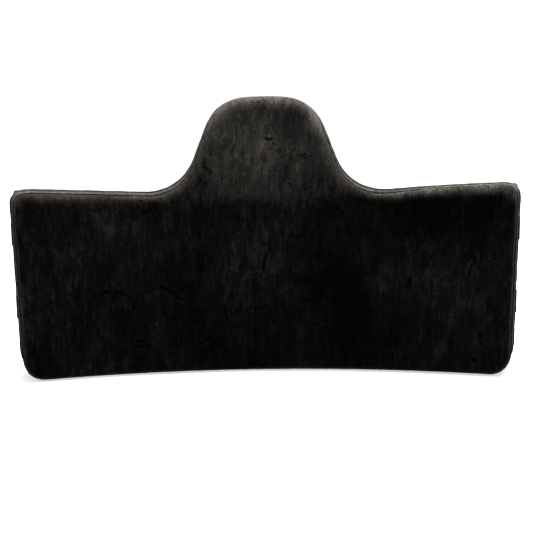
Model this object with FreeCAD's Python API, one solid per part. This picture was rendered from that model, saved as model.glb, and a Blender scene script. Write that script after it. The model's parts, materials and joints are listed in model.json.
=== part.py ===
"""Strap-on headrest for a chair: a curved foam pad with a raised dome for the head.

The pad is one bent slab. Its front face is hollow and its back is round, both about one upright
axis in front of it, and its outline is a low wide back rest with a dome in the middle. A zipped
plush cover holds a soft face foam, a firm core, a stiffener board and a thin rear foam. Two elastic
straps with side-release buckles go round the chair's back. Here the buckles are open and the straps
lie flat on the pad's back.

Millimetres, +Z up, the face towards -Y. The origin is under the middle of the object's box.
"""

import FreeCAD
import Part
import math
import os
from FreeCAD import Vector

# ---- Driving dimensions of the pad ----
FACE_RADIUS = 890.0  # plan radius of the hollow front face
PAD_THICKNESS = 57.0
TOTAL_HEIGHT = 304.0
BASE_HALF_WIDTH = 274.8  # the outline's half widths are measured on the flat cutting template
TOP_HALF_WIDTH = 278.5
SHOULDER_OUTER_HEIGHT = 209.0
SHOULDER_INNER_HEIGHT = 198.5
DOME_FOOT_HALF_WIDTH = 91.5
DOME_TOP_HALF_WIDTH = 51.7
DOME_CROWN_RISE = 2.0
BASE_CORNER_RADIUS = 26.0
TOP_CORNER_RADIUS = 15.0
DOME_FOOT_RADIUS = 53.0
DOME_CORNER_RADIUS = 47.0
DOME_CROWN_RADIUS = 150.0
EDGE_ROUND = 10.0  # rounding of the front and back edges

# ---- Cover ----
FABRIC = 2.0  # plush with its pile
SEAM_DEPTH = 10.5  # from each face to its seam
WELT = 3.0  # piped cord in each seam
FIT_GAP = 0.3  # between the cover and the foam

# ---- Filling, from the front to the back ----
FACE_FOAM = 18.0
LAYER_GAP = 0.1
CORE_END = 46.5  # depth of the core's back below the face
BOARD = 3.0
BOARD_INSET = 12.0
REAR_GAP = 2.4  # room behind the filling for the zip's tapes and slider

# ---- Zip, across the back near the base ----
ZIP_HEIGHT = 30.0
ZIP_HALF_ANGLE = 13.0
ZIP_SLOT_HALF = 4.7
TAPE = 0.7
TAPE_WIDTH = 13.5
COIL = 1.95
COIL_WIDTH = 2.65
COIL_GAP = 0.35
SLIDER_ANGLE = 12.3  # the slider's place when the zip is shut

# ---- Straps ----
STRAP_HEIGHTS = {"upper": 158.0, "lower": 76.0}
WEB = 1.3
WEB_WIDTH = 25.0
STRAP_GAP = 1.4  # the webbing lies this far off the cover
HINGE_ANGLE = 15.9  # where the webbing starts to swing, from the middle of the pad
HINGE_CLEARANCE = 3.0  # from the hinge to the sewn tab, which lets the strap swing right out
PLUG_TAIL = 62.0  # the loose end past the buckle, which is pulled to tighten the strap
SOCKET_TAIL = 26.0
HEM = 9.0  # folded back once more at the end of the long tail
LAYER_RUN = 12.0  # over which the webbing comes down from the bars onto itself
KEEPER_ANGLE = 6.4

# ---- Buckles, 25 mm side release ----
BUCKLE_WIDTH = 32.0
SOCKET_HALF_LENGTH = 14.0
SOCKET_THICKNESS = 8.0
CAVITY_HEIGHT = 5.2
BAR_RADIUS = 1.8
PLUG_ANGLE = 2.96  # the plug lies this far round from the socket
PLUG_REACH = 25.0
LATCH_Z = 10.2

BACK_RADIUS = FACE_RADIUS + PAD_THICKNESS
STRAP_RADIUS = BACK_RADIUS + STRAP_GAP
HINGE_RADIUS = STRAP_RADIUS + WEB / 2
AXIS_TOP = 400.0  # tall enough for every cutting cylinder
SIDES = {"socket": -1, "plug": 1}  # which way from the middle each half of a strap lies


# ---- Shapes about the pad's upright axis ----


def cylinder(radius):
    return Part.makeCylinder(radius, AXIS_TOP + 80, Vector(0, -FACE_RADIUS, -40))


def between(shape, inner, outer):
    """The part of shape between two radii about the pad's axis."""
    return shape.common(cylinder(outer)).cut(cylinder(inner))


def turned(shape, angle):
    """A copy of shape carried round the pad's axis, towards +X for a positive angle."""
    copy = shape.copy()
    copy.rotate(Vector(0, -FACE_RADIUS, 0), Vector(0, 0, 1), -angle)
    return copy


def arc_band(inner, outer, start, end, low, high):
    """A block bent round the pad's axis, from one angle to the other, measured from the middle."""
    axis = Vector(0, -FACE_RADIUS, low)
    pie = [Part.makeCylinder(r, high - low, axis, Vector(0, 0, 1), end - start) for r in (outer, inner)]
    band = pie[0].cut(pie[1])
    band.rotate(axis, Vector(0, 0, 1), 90 - end)
    return band


def box(x, y, z):
    """A box from three (low, high) pairs."""
    low = Vector(x[0], y[0], z[0])
    return Part.makeBox(x[1] - x[0], y[1] - y[0], z[1] - z[0], low)


def angle_of(arc, radius=STRAP_RADIUS):
    return math.degrees(arc / radius)


# ---- The pad's outline ----


def rounded_wire(corners):
    """A closed wire through (x, z, radius) corners, straight between them and an arc at each."""
    arcs = []
    for i, (x, z, radius) in enumerate(corners):
        before, here, after = [
            Vector(c[0], 0, c[1]) for c in (corners[i - 1], corners[i], corners[(i + 1) % len(corners)])
        ]
        back, ahead = (before - here).normalize(), (after - here).normalize()
        half = back.getAngle(ahead) / 2
        middle = here + (back + ahead).normalize() * (radius / math.sin(half) - radius)
        run = radius / math.tan(half)
        arcs.append((here + back * run, middle, here + ahead * run))
    edges = []
    for arc, following in zip(arcs, arcs[1:] + arcs[:1]):
        edges.append(Part.Arc(*arc).toShape())
        edges.append(Part.LineSegment(arc[2], following[0]).toShape())
    return Part.Wire(edges)


def outline(inset=0.0):
    """The pad's outline on the cutting template, which touches the front face at its middle."""
    right = [
        (BASE_HALF_WIDTH, 0, BASE_CORNER_RADIUS),
        (TOP_HALF_WIDTH, SHOULDER_OUTER_HEIGHT, TOP_CORNER_RADIUS),
        (DOME_FOOT_HALF_WIDTH, SHOULDER_INNER_HEIGHT, DOME_FOOT_RADIUS),
        (DOME_TOP_HALF_WIDTH, TOTAL_HEIGHT - DOME_CROWN_RISE, DOME_CORNER_RADIUS),
    ]
    left = [(-x, z, radius) for x, z, radius in reversed(right)]
    wire = rounded_wire(right + [(0, TOTAL_HEIGHT, DOME_CROWN_RADIUS)] + left)
    return wire.makeOffset2D(-inset) if inset else wire


def flared(wire):
    """A solid through the template wire whose sides all run out from the pad's axis."""
    ends = []
    for depth in (-60.0, 80.0):
        spread = FreeCAD.Matrix()
        spread.A11 = (FACE_RADIUS + depth) / FACE_RADIUS
        end = wire.transformGeometry(spread)
        end.translate(Vector(0, depth, 0))
        ends.append(Part.Wire(end.Edges))
    return Part.makeLoft(ends, True, True)


def edges_at(solid, radius):
    """The edges of solid that lie on the cylinder of this radius."""
    found = []
    for edge in solid.Edges:
        span = edge.LastParameter - edge.FirstParameter
        points = [edge.valueAt(edge.FirstParameter + span * k) for k in (0, 0.3, 0.7, 1)]
        if all(abs(math.hypot(p.x, p.y + FACE_RADIUS) - radius) < 1e-3 for p in points):
            found.append(edge)
    return found


def pad_body(inset, back_inset=None):
    """The whole pad, its front and back edges rounded, smaller all round by inset."""
    front = FACE_RADIUS + inset
    back = BACK_RADIUS - (inset if back_inset is None else back_inset)
    slab = between(flared(outline(inset)), front, back).Solids[0]
    rounding = EDGE_ROUND - inset
    slab = slab.makeFillet(rounding, edges_at(slab, front))
    return slab.makeFillet(rounding, edges_at(slab, back)).Solids[0]


# ---- Cover: two faces, a boxing strip in two lengths, and a piped seam each side of it ----


def cover_parts():
    shell = pad_body(0).cut(pad_body(FABRIC))
    front_seam = FACE_RADIUS + SEAM_DEPTH
    back_seam = BACK_RADIUS - SEAM_DEPTH
    boxing = between(shell, front_seam + WELT / 2, back_seam - WELT / 2)
    back = between(shell, back_seam + WELT / 2, BACK_RADIUS + 1)

    # The boxing is joined at the two top corners, on a slant through each corner.
    slant = TOP_CORNER_RADIUS * (1 - math.sqrt(0.5))
    corner_x, corner_z = TOP_HALF_WIDTH - slant, SHOULDER_OUTER_HEIGHT - slant
    reach = 30.0
    half_region = [
        (corner_x - reach, corner_z - reach),
        (corner_x + reach, corner_z + reach),
        (corner_x + reach, AXIS_TOP),
    ]
    region = half_region + [(-x, z) for x, z in reversed(half_region)]
    above = flared(Part.makePolygon([Vector(x, 0, z) for x, z in region + region[:1]]))

    # The back is two pieces, sewn together beyond the ends of the zip between them.
    inner, outer = BACK_RADIUS - 2 * SEAM_DEPTH, BACK_RADIUS + 1
    slot_low, slot_high = ZIP_HEIGHT - ZIP_SLOT_HALF, ZIP_HEIGHT + ZIP_SLOT_HALF
    slot = arc_band(inner, outer, -ZIP_HALF_ANGLE, ZIP_HALF_ANGLE, slot_low, slot_high)
    below = arc_band(inner, outer, -25, 25, -10, ZIP_HEIGHT)
    return {
        "front_panel": between(shell, FACE_RADIUS - 50, front_seam - WELT / 2),
        "boxing_top_strip": boxing.common(above),
        "boxing_side_strip": boxing.cut(above),
        "back_panel_upper": back.cut(slot).cut(below),
        "back_panel_lower": back.cut(slot).common(below),
        "front_welt": welt(front_seam),
        "back_welt": welt(back_seam),
    }


def welt(seam):
    """The piping in one seam. It stands out of the cover by half its size, but not into the floor."""
    half = WELT / 2 - 0.05
    ring = flared(outline(-half)).cut(flared(outline(half + 0.4)))
    floor = box((-400, 400), (-100, 100), (-10, 0))
    return between(ring, seam - half, seam + half).cut(floor)


# ---- Filling ----


def filling_parts():
    inset = FABRIC + FIT_GAP
    filling = pad_body(inset, FABRIC + REAR_GAP)
    face_end = FACE_RADIUS + inset + FACE_FOAM
    core_end = FACE_RADIUS + CORE_END
    board_start = core_end - BOARD
    board = between(flared(outline(BOARD_INSET)), board_start, core_end)
    pocket_outline = flared(outline(BOARD_INSET - FIT_GAP))
    pocket = between(pocket_outline, board_start - LAYER_GAP, core_end + 1)
    return {
        "face_foam": between(filling, FACE_RADIUS, face_end),
        "core_foam": between(filling, face_end + LAYER_GAP, core_end).cut(pocket),
        "stiffener_board": board,
        "rear_foam": between(filling, core_end + LAYER_GAP, BACK_RADIUS),
    }


# ---- Zip ----


def zip_parts():
    tape_inner = BACK_RADIUS - FABRIC - 0.2 - TAPE
    coil_inner = tape_inner + TAPE + 0.05
    coil_outer = coil_inner + COIL
    tape_end = ZIP_HALF_ANGLE + 0.5
    stop = angle_of(3.0)
    parts = {}
    for name, up in (("upper", 1), ("lower", -1)):
        tape = sorted((ZIP_HEIGHT + up * (COIL_GAP + 0.15), ZIP_HEIGHT + up * TAPE_WIDTH))
        coil = sorted((ZIP_HEIGHT + up * COIL_GAP, ZIP_HEIGHT + up * (COIL_GAP + COIL_WIDTH)))
        parts["zip_tape_" + name] = arc_band(tape_inner, tape_inner + TAPE, -tape_end, tape_end, *tape)
        parts["zip_coil_" + name] = arc_band(coil_inner, coil_outer, -ZIP_HALF_ANGLE + stop,
                                             ZIP_HALF_ANGLE - stop, *coil)
    reach = COIL_GAP + COIL_WIDTH
    stop_bands = [(ZIP_HEIGHT + COIL_GAP, ZIP_HEIGHT + reach), (ZIP_HEIGHT - reach, ZIP_HEIGHT - COIL_GAP)]
    parts["zip_top_stops"] = Part.makeCompound([
        arc_band(coil_inner, coil_outer + 0.4, ZIP_HALF_ANGLE - stop + 0.02, ZIP_HALF_ANGLE - 0.02, *band)
        for band in stop_bands
    ])
    parts["zip_bottom_stop"] = arc_band(coil_inner, coil_outer + 0.4, -ZIP_HALF_ANGLE + 0.02,
                                        -ZIP_HALF_ANGLE + stop - 0.02, ZIP_HEIGHT - reach, ZIP_HEIGHT + reach)
    parts["zip_slider"] = turned(slider(tape_inner, coil_outer), SLIDER_ANGLE)
    parts["zip_pull"] = turned(pull_tab(), SLIDER_ANGLE)
    return parts


# The slider is made at the middle of the pad, where X runs along the zip, and is turned into place.
SLIDER_HALF_LENGTH = 4.6
SLIDER_HALF_WIDTH = 4.2
SLIDER_TOP = BACK_RADIUS - FACE_RADIUS + 1.2
PULL_AXIS_Y = SLIDER_TOP + 1.4
PULL_PIN_RADIUS = 0.6
PULL_LENGTH = 24.0
PULL_WIDTH = 6.8


def slider(tape_inner, coil_outer):
    """Two plates round the coils, joined by a thin divider, with a bridge for the pull."""
    length = (-SLIDER_HALF_LENGTH, SLIDER_HALF_LENGTH)
    width = (ZIP_HEIGHT - SLIDER_HALF_WIDTH, ZIP_HEIGHT + SLIDER_HALF_WIDTH)
    tape_y = tape_inner - FACE_RADIUS
    roof_y = coil_outer - FACE_RADIUS + 0.15
    roof = box(length, (roof_y, SLIDER_TOP), width)
    roof = roof.makeFillet(1.2, [e for e in roof.Edges if e.BoundBox.YLength > 0.5])
    floor = box(length, (tape_y - 1.1, tape_y - 0.15), width)
    divider = box((1.2, SLIDER_HALF_LENGTH), (tape_y - 0.5, roof_y + 0.5),
                  (ZIP_HEIGHT - COIL_GAP + 0.1, ZIP_HEIGHT + COIL_GAP - 0.1))
    shape = roof.fuse([floor, divider])
    for edge in (width[0], width[1] - 0.9):
        lip = box(length, (tape_y + TAPE + 0.15, roof_y + 0.3), (edge, edge + 0.9))
        shape = shape.fuse(lip)
    bridge = box((-3.0, 3.0), (SLIDER_TOP - 0.3, SLIDER_TOP + 3.2), (ZIP_HEIGHT - 1.1, ZIP_HEIGHT + 1.1))
    bridge = bridge.makeFillet(0.9, [e for e in bridge.Edges
                                     if e.BoundBox.ZLength > 1 and e.BoundBox.YMax > SLIDER_TOP + 3])
    hole = box((-1.9, 1.9), (SLIDER_TOP + 0.5, SLIDER_TOP + 2.3), (ZIP_HEIGHT - 5, ZIP_HEIGHT + 5))
    return shape.fuse(bridge).cut(hole).removeSplitter()


def pull_tab():
    """A flat tab whose end pin lies in the slider's bridge. It points away from the shut end."""
    pin = Part.makeCylinder(PULL_PIN_RADIUS, 6.0, Vector(0, PULL_AXIS_Y, ZIP_HEIGHT - 3.0), Vector(0, 0, 1))
    y = (PULL_AXIS_Y - PULL_PIN_RADIUS, PULL_AXIS_Y + PULL_PIN_RADIUS)
    half = PULL_WIDTH / 2
    tab = box((-PULL_LENGTH, -4.4), y, (ZIP_HEIGHT - half, ZIP_HEIGHT + half))
    tab = tab.makeFillet(2.4, [e for e in tab.Edges if e.BoundBox.YLength > 1])
    eye = Part.makeCylinder(1.3, 5, Vector(half - PULL_LENGTH, PULL_AXIS_Y - 2, ZIP_HEIGHT), Vector(0, 1, 0))
    legs = [box((-6.4, 0), y, (ZIP_HEIGHT + low, ZIP_HEIGHT + low + 1.5)) for low in (-3.0, 1.5)]
    return pin.fuse(legs + [tab.cut(eye)]).removeSplitter()


# ---- Straps and buckles ----
# Each piece is made at the middle of the pad, mid-height at z 0, where X runs along the strap and
# y counts from the webbing's inner face, and is then turned and lifted into place. The plug's half
# is made with its tip towards -X.

STRAP_Y = STRAP_RADIUS - FACE_RADIUS
BAR_Y = WEB + 0.1 + BAR_RADIUS
LOOP_INNER = BAR_RADIUS + 0.1
SOCKET_BAR_X = SOCKET_HALF_LENGTH + 8.0
PLUG_BAR_X = 8.0
LADDER_BAR_X = 17.0
RAIL = 2.6
SOCKET_Y = (-0.4, SOCKET_THICKNESS - 0.4)
SOCKET_SIDE_WALL = 2.4
CAVITY_Y = (SOCKET_THICKNESS - CAVITY_HEIGHT) / 2
PLUG_Y = (2.0, 5.8)  # the tongue and the arms, which go into the socket
LATCH_ROOT_X = -4.6
LATCH_ROOT_RADIUS = 1.5
LATCH_MOUTH = 1.42  # half the opening that an arm's neck swings in


def at_strap(shape):
    """shape, drawn with y 0 on the webbing's inner face, put on that face."""
    copy = shape.copy()
    copy.translate(Vector(0, STRAP_Y, 0))
    return copy


def upright_rod(x, y, radius, half_length):
    return Part.makeCylinder(radius, 2 * half_length, Vector(x, y, -half_length), Vector(0, 0, 1))


def web_loop(bar_x, over_x, layer_x):
    """The end of a strap, round the bar at bar_x, over all bars to over_x, and down onto the
    webbing at layer_x. Drawn for the half of the strap that lies towards +X."""
    half = WEB_WIDTH / 2
    top = BAR_Y + LOOP_INNER
    ring = upright_rod(bar_x, BAR_Y, LOOP_INNER + WEB, half).cut(upright_rod(bar_x, BAR_Y, LOOP_INNER, half))
    ring = ring.common(box((bar_x - 10, bar_x), (-10, 20), (-half, half)))
    under = [(bar_x, top), (over_x, top), (layer_x, WEB)]
    points = under + [(x, y + WEB) for x, y in reversed(under)]
    over = Part.Face(Part.makePolygon([Vector(x, y, -half) for x, y in points + points[:1]]))
    return at_strap(ring.fuse(over.extrude(Vector(0, 0, 2 * half))))


def strap_web(kind):
    """The webbing of one half of a strap, from its round hinged end to its buckle."""
    half = WEB_WIDTH / 2
    if kind == "socket":
        place, bar_x, over_x, tail = 0.0, SOCKET_BAR_X, SOCKET_BAR_X + 1, SOCKET_TAIL
    else:
        place, bar_x, over_x, tail = PLUG_ANGLE, PLUG_BAR_X, LADDER_BAR_X + 1, PLUG_TAIL
    layer_x = over_x + LAYER_RUN
    start = place + angle_of(bar_x)
    layer = place + angle_of(layer_x - 0.5)
    inner, middle, outer = STRAP_RADIUS, STRAP_RADIUS + WEB, STRAP_RADIUS + 2 * WEB
    pieces = [
        arc_band(inner, middle, start, HINGE_ANGLE, -half, half),
        arc_band(middle - 0.02, outer, layer, layer + angle_of(tail), -half, half),
        turned(web_loop(bar_x, over_x, layer_x), place),
        turned(at_strap(upright_rod(0, WEB / 2, WEB / 2, half)), HINGE_ANGLE),
    ]
    if kind == "plug":
        hem = layer + angle_of(tail)
        pieces.append(arc_band(outer - 0.02, outer + WEB, hem - angle_of(HEM), hem, -half, half))
    web = pieces[0].fuse(pieces[1:])
    return mirrored(web) if kind == "socket" else web


def mirrored(shape):
    return shape.mirror(Vector(0, 0, 0), Vector(1, 0, 0))


def strap_tab(height):
    """The sewn end of a strap: it comes out of the back seam and round the pad's edge."""
    half = WEB_WIDTH / 2
    end_x = BASE_HALF_WIDTH + (TOP_HALF_WIDTH - BASE_HALF_WIDTH) * height / SHOULDER_OUTER_HEIGHT
    edge_angle = math.degrees(math.atan(end_x / FACE_RADIUS))
    place = edge_angle - angle_of(EDGE_ROUND, BACK_RADIUS - EDGE_ROUND)
    radius = EDGE_ROUND + STRAP_GAP
    bend = upright_rod(0, -radius, radius + WEB, half).cut(upright_rod(0, -radius, radius, half))
    above_welt = WELT / 2 + 0.4
    bend = bend.common(box((0, 2 * radius), (above_welt - radius, WEB + 1), (-half, half)))
    start = HINGE_ANGLE + angle_of(HINGE_CLEARANCE)
    flat = arc_band(STRAP_RADIUS, STRAP_RADIUS + WEB, start, place, -half, half)
    return flat.fuse(turned(at_strap(bend), place))


def rails(start, end):
    """The two side rails that hold a buckle's bars, from one x to another."""
    half, y = BUCKLE_WIDTH / 2, (0.5, BAR_Y + BAR_RADIUS)
    return [box((start, end), y, z) for z in ((-half, RAIL - half), (half - RAIL, half))]


def buckle_socket():
    """A flat box, open at its mouth towards +X, with side windows and a bar for the webbing."""
    half = BUCKLE_WIDTH / 2
    inside = half - SOCKET_SIDE_WALL
    cavity = (CAVITY_Y, CAVITY_Y + CAVITY_HEIGHT)
    case = box((-SOCKET_HALF_LENGTH, SOCKET_HALF_LENGTH), SOCKET_Y, (-half, half))
    case = case.makeFillet(1.4, [e for e in case.Edges if e.BoundBox.XLength > 20])
    case = case.cut(box((-SOCKET_HALF_LENGTH + 2, 30), cavity, (-inside, inside)))
    for side in (-1, 1):
        case = case.cut(box((-9, 5), cavity, sorted((side * (half - 5), side * (half + 2)))))
    rear = (-SOCKET_BAR_X - BAR_RADIUS, -SOCKET_HALF_LENGTH + 1)
    bar = upright_rod(-SOCKET_BAR_X, BAR_Y, BAR_RADIUS, half - 1)
    return at_strap(case.fuse(rails(*rear) + [bar]).removeSplitter())


def buckle_plug():
    """A base block with a guide tongue towards -X, seats for the latch arms, and two web bars."""
    half = BUCKLE_WIDTH / 2
    base = box((-3, 3), (0.5, 7.2), (-half, half))
    base = base.makeFillet(1.2, [e for e in base.Edges if e.BoundBox.ZLength > 20])
    tongue = box((-PLUG_REACH, -2), PLUG_Y, (-3.4, 3.4))
    tip_corners = [e for e in tongue.Edges if e.BoundBox.YLength > 3 and e.BoundBox.XMax < -9]
    tongue = tongue.makeFillet(1.6, tip_corners)
    bars = [upright_rod(x, BAR_Y, BAR_RADIUS, half - 1) for x in (PLUG_BAR_X, LADDER_BAR_X)]
    plug = base.fuse([tongue] + rails(2, LADDER_BAR_X + BAR_RADIUS) + bars)
    for z in (-LATCH_Z, LATCH_Z):
        ear = box((LATCH_ROOT_X - 0.8, -2), PLUG_Y, (z - 3, z + 3))
        seat = latch_root(LATCH_ROOT_RADIUS + 0.1, (-1, 9))
        seat.translate(Vector(0, 0, z))
        mouth = box((-30, LATCH_ROOT_X), (-1, 9), (z - LATCH_MOUTH, z + LATCH_MOUTH))
        plug = plug.fuse(ear).cut(seat).cut(mouth)
    return at_strap(plug.removeSplitter())


def latch_root(radius, y):
    return Part.makeCylinder(radius, y[1] - y[0], Vector(LATCH_ROOT_X, y[0], 0), Vector(0, 1, 0))


def latch_arm(side):
    """A springy arm with a barb, on its root in the plug. side is 1 for the upper arm."""
    inner_side = [(LATCH_ROOT_X, -1.0), (5 - PLUG_REACH, -0.2), (1.5 - PLUG_REACH, 1.0)]
    barb = [(1.5 - PLUG_REACH, 2.0), (-16.5, 5.6), (-12.5, 5.6), (-12.0, 2.2)]
    points = inner_side + barb + [(LATCH_ROOT_X, 1.0)]
    shape = Part.Face(Part.makePolygon([Vector(x, PLUG_Y[0], z) for x, z in points + points[:1]]))
    arm = shape.extrude(Vector(0, PLUG_Y[1] - PLUG_Y[0], 0)).fuse(latch_root(LATCH_ROOT_RADIUS, PLUG_Y))
    if side < 0:
        arm = arm.mirror(Vector(0, 0, 0), Vector(0, 0, 1))
    arm.translate(Vector(0, 0, side * LATCH_Z))
    return at_strap(arm.removeSplitter())


def strap_keeper():
    """A flat band round the webbing and its tail. It slides along them."""
    thick, clear = 0.8, 0.15
    angle = angle_of(5.0)
    half = WEB_WIDTH / 2 + clear
    inner, outer = STRAP_RADIUS - clear, STRAP_RADIUS + 2 * WEB + clear
    block = arc_band(inner - thick, outer + thick, -angle, angle, -half - thick, half + thick)
    return block.cut(arc_band(inner, outer, -angle - 1, angle + 1, -half, half))


def strap_parts(level, height):
    """One strap: its two sewn tabs, its two halves and their buckle, all at one height."""
    made = {
        "strap_tab_socket": mirrored(strap_tab(height)),
        "strap_tab_plug": strap_tab(height),
        "strap_web_socket": strap_web("socket"),
        "strap_web_plug": strap_web("plug"),
        "buckle_socket": buckle_socket(),
        "buckle_plug": turned(buckle_plug(), PLUG_ANGLE),
        "latch_arm_top": turned(latch_arm(1), PLUG_ANGLE),
        "latch_arm_bottom": turned(latch_arm(-1), PLUG_ANGLE),
        "strap_keeper": turned(strap_keeper(), KEEPER_ANGLE),
    }
    for shape in made.values():
        shape.translate(Vector(0, 0, height))
    return {f"{level}_{name}": shape for name, shape in made.items()}


# ---- The whole object ----


def all_parts():
    parts = {**cover_parts(), **filling_parts(), **zip_parts()}
    for level, height in STRAP_HEIGHTS.items():
        parts.update(strap_parts(level, height))
    return parts


def centre_of_box(parts):
    """Half way across the whole object's box, in X and in Y."""
    whole = Part.makeCompound(list(parts.values())).optimalBoundingBox(False)
    return Vector(whole.Center.x, whole.Center.y, 0)


def main():
    parts = all_parts()
    centre = centre_of_box(parts)
    os.makedirs("parts", exist_ok=True)
    for name, shape in parts.items():
        shape.translate(-centre)
        Part.makeCompound(shape.Solids).exportStep(f"parts/{name}.step")
        valid = shape.isValid() and all(solid.isClosed() for solid in shape.Solids)
        print(f"{name:26s} {len(shape.Solids)} solids, {shape.Volume / 1000:8.2f} cm3, valid {valid}")
    print(f"pad axis at y {-FACE_RADIUS - centre.y:.4f}, box centre was {centre.x:.4f}, {centre.y:.4f}")


if __name__ == "__main__":
    main()
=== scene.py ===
"""A strap-on chair headrest: a curved foam pad in a black plush cover, with two buckled straps.

The sections follow the pad as it is put together: the filling, the cover and its piping, the zip,
the straps with their buckles, and last the studio. Metres, +Z up, the face towards -Y.
"""
import json
import math
import bpy
import numpy as np
from mathutils import Matrix, Vector, kdtree

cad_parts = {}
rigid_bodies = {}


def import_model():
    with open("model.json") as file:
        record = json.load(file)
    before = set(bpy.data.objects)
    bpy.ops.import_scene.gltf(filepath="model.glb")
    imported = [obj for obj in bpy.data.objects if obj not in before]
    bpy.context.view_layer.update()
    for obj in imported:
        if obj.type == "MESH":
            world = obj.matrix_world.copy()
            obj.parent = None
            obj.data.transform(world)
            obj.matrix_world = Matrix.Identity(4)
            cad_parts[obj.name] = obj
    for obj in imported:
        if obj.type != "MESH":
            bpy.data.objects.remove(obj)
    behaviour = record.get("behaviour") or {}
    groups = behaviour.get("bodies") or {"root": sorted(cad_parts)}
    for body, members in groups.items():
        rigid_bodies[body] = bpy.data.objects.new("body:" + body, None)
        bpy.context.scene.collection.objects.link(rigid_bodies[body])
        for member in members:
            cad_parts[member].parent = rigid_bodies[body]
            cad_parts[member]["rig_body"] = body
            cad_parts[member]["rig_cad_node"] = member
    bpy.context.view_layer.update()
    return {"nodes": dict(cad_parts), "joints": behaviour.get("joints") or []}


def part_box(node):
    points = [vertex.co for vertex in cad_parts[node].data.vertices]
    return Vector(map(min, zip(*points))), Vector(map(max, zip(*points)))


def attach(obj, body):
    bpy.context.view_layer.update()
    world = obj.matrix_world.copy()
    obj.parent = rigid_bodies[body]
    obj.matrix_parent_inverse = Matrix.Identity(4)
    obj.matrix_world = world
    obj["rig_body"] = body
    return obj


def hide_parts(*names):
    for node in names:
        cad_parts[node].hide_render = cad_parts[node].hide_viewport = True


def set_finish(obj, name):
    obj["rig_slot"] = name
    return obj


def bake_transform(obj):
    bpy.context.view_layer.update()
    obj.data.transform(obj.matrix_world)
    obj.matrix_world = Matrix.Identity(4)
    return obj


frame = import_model()

# ---- The pad's curve ----
# The cover is cut flat and the whole pad is bent round an upright axis in front of it. Soft pieces
# are shaped laid out flat, with x along the curve and y the depth below the face, and then bent.

zip_joint = next(joint for joint in frame["joints"] if joint["name"] == "zip_slide")
axis_y = zip_joint["pos_m"][1]
BACK_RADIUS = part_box("back_panel_upper")[1].y - axis_y
PAD_THICKNESS = 0.057
FACE_RADIUS = BACK_RADIUS - PAD_THICKNESS


def laid_flat(points):
    away = points[:, 1] - axis_y
    along = np.arctan2(points[:, 0], away) * FACE_RADIUS
    return np.stack([along, np.hypot(points[:, 0], away) - FACE_RADIUS, points[:, 2]], 1)


def bent_round(points):
    turn, radius = points[:, 0] / FACE_RADIUS, points[:, 1] + FACE_RADIUS
    return np.stack([radius * np.sin(turn), radius * np.cos(turn) + axis_y, points[:, 2]], 1)


def read(piece, what="co"):
    """The points of a piece's mesh, or their normals, one row each."""
    values = np.empty(len(piece.data.vertices) * 3, np.float32)
    piece.data.vertices.foreach_get(what, values)
    return values.reshape(-1, 3).astype(float)


def write(piece, points):
    piece.data.vertices.foreach_set("co", points.astype(np.float32).ravel())
    piece.data.update()


# ---- Filling: face foam, core foam, stiffener board, rear foam ----
# Sheets of open-cell foam, cut to the pad's outline and glued in a stack, with a polypropylene board
# let into the core behind the dome. They are cut pieces, so they keep the plain shapes of the frame.

CELL_SIZE = 0.0011


def node(tree, kind, inputs=None, **settings):
    """A shader node with its settings, and its inputs set to values or linked from other sockets."""
    made = tree.nodes.new("ShaderNode" + kind)
    for name, value in settings.items():
        setattr(made, name, value)
    for name, value in (inputs or {}).items():
        if isinstance(value, bpy.types.NodeSocket):
            tree.links.new(value, made.inputs[name])
        else:
            made.inputs[name].default_value = value
    return made


def group(name, inputs, outputs):
    """An empty node group. Inputs are name, kind and value, and outputs are name and kind."""
    tree = bpy.data.node_groups.new(name, "ShaderNodeTree")
    for label, kind, value in inputs:
        socket = tree.interface.new_socket(label, in_out="INPUT", socket_type="NodeSocket" + kind)
        socket.default_value = value
    for label, kind in outputs:
        tree.interface.new_socket(label, in_out="OUTPUT", socket_type="NodeSocket" + kind)
    return tree, tree.nodes.new("NodeGroupInput").outputs, tree.nodes.new("NodeGroupOutput").inputs


def placed(tree, made_group, **values):
    """A node group in a material, with its values."""
    holder = node(tree, "Group", node_tree=made_group)
    for name, value in values.items():
        holder.inputs[name.replace("_", " ")].default_value = value
    return holder.outputs


def material(name, roughness=0.8, sheen=0.0, sheen_roughness=0.5, sheen_tint=(1, 1, 1), specular=0.5):
    """A material with only its Principled shader, with its node tree and that shader."""
    made = bpy.data.materials.new(name)
    made.use_nodes = True
    shader = made.node_tree.nodes["Principled BSDF"]
    shader.inputs["Roughness"].default_value = roughness
    shader.inputs["Sheen Weight"].default_value = sheen
    shader.inputs["Sheen Roughness"].default_value = sheen_roughness
    shader.inputs["Sheen Tint"].default_value = (*sheen_tint, 1)
    shader.inputs["Specular IOR Level"].default_value = specular
    return made, made.node_tree, shader


def bumped(tree, shader, height, distance, strength=1.0):
    """Feeds a height to the shader's normal."""
    bump = node(tree, "Bump", {"Height": height, "Distance": distance, "Strength": strength})
    tree.links.new(bump.outputs["Normal"], shader.inputs["Normal"])


def mixed(tree, share, low, high):
    """A colour between two, by a share that changes over the surface."""
    mix = node(tree, "Mix", {"Factor": share}, data_type="RGBA")
    for socket, value in (("A_Color", low), ("B_Color", high)):
        target = next(s for s in mix.inputs if s.identifier == socket)
        if isinstance(value, bpy.types.NodeSocket):
            tree.links.new(value, target)
        else:
            target.default_value = (*value, 1)
    return next(s for s in mix.outputs if s.identifier == "Result_Color")


def coloured(tree, shader, share, low, high):
    """Feeds the shader a colour between two."""
    tree.links.new(mixed(tree, share, low, high), shader.inputs["Base Color"])


def own_place(tree):
    """Each point's place on its own piece."""
    return node(tree, "TexCoord").outputs["Object"]


def ranged(tree, value, low, high, first=0.0, last=1.0):
    """A value that runs from first to last as another runs from low to high."""
    limits = {"Value": value, "From Min": low, "From Max": high, "To Min": first, "To Max": last}
    return node(tree, "MapRange", limits).outputs["Result"]


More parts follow.
